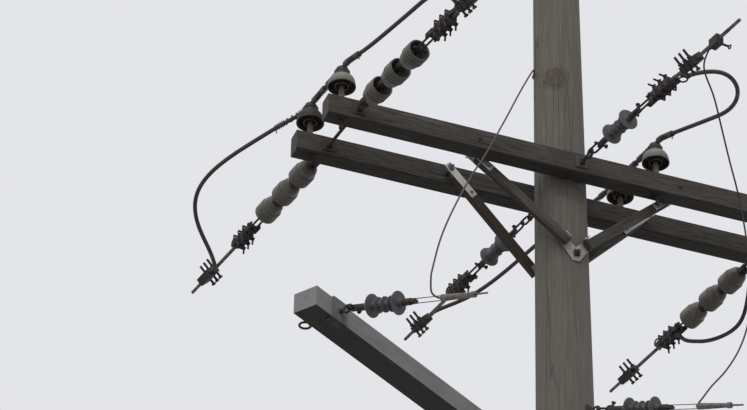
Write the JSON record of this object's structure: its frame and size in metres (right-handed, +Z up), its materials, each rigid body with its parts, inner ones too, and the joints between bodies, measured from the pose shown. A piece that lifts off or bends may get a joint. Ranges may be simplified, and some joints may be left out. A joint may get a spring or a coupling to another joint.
{
  "type": "wooden utility pole",
  "caption": "Round tapered wooden pole with paired dead-end crossarms, wooden V-braces, porcelain and polymer insulator strings, jumpers and a lower fibreglass dead-end arm.",
  "frame": {"origin": "centre of the pole's section at ground level", "axes": "+Z up along the pole, +X along the crossarms towards their right end, -Y towards the near side that the picture looks from"},
  "size_m": [3.1613, 2.9066, 11.7],
  "materials": {
    "pole_wood": "weathered grey-brown cedar, matt, split along the grain",
    "arm_wood": "dark weathered treated timber, matt",
    "galvanised_steel": "dull zinc, lightly stained",
    "rusty_steel": "dark galvanised iron gone brown with rust",
    "glazed_porcelain": "grey glaze, dirty on the undersides",
    "polymer_sheds": "matt grey silicone",
    "dull_steel": "dull grey steel",
    "fibreglass": "light grey gel coat, matt",
    "conductor_aluminium": "weathered aluminium strand, dark",
    "jumper_covering": "dark brown weathered covering"
  },
  "bodies": {
    "root": {"pole": "pole_wood", "near_crossarm": "arm_wood", "far_crossarm": "arm_wood", "near_left_brace": "arm_wood", "near_right_brace": "arm_wood", "far_left_brace": "arm_wood", "far_right_brace": "arm_wood", "brace_straps": "galvanised_steel", "vee_plates": "galvanised_steel", "brace_bolts": "rusty_steel", "centre_through_bolt": "rusty_steel", "left_arming_bolt": "rusty_steel", "right_arming_bolt": "rusty_steel", "insulator_pins": "rusty_steel", "pin_insulators": "glazed_porcelain", "near_left_bells": "glazed_porcelain", "far_left_bells": "glazed_porcelain", "near_right_bells": "glazed_porcelain", "far_right_bells": "glazed_porcelain", "near_left_string_fittings": "rusty_steel", "far_left_string_fittings": "rusty_steel", "near_right_string_fittings": "rusty_steel", "far_right_string_fittings": "rusty_steel", "near_centre_insulator": "polymer_sheds", "far_centre_insulator": "polymer_sheds", "near_centre_string_fittings": "rusty_steel", "far_centre_string_fittings": "rusty_steel", "strain_clamps": "rusty_steel", "clamp_bolts": "galvanised_steel", "conductor_ends": "conductor_aluminium", "connectors": "rusty_steel", "tap_clamps": "rusty_steel", "left_jumper": "jumper_covering", "centre_jumper": "jumper_covering", "right_jumper": "jumper_covering", "dead_end_arm": "fibreglass", "dead_end_arm_caps": "fibreglass", "dead_end_arm_bracket": "galvanised_steel", "dead_end_arm_bolts": "rusty_steel", "arm_saddles": "dull_steel", "tap_insulators": "polymer_sheds", "tap_fittings": "rusty_steel", "tap_grips": "conductor_aluminium", "tap_jumpers": "jumper_covering"}
  },
  "joints": []
}
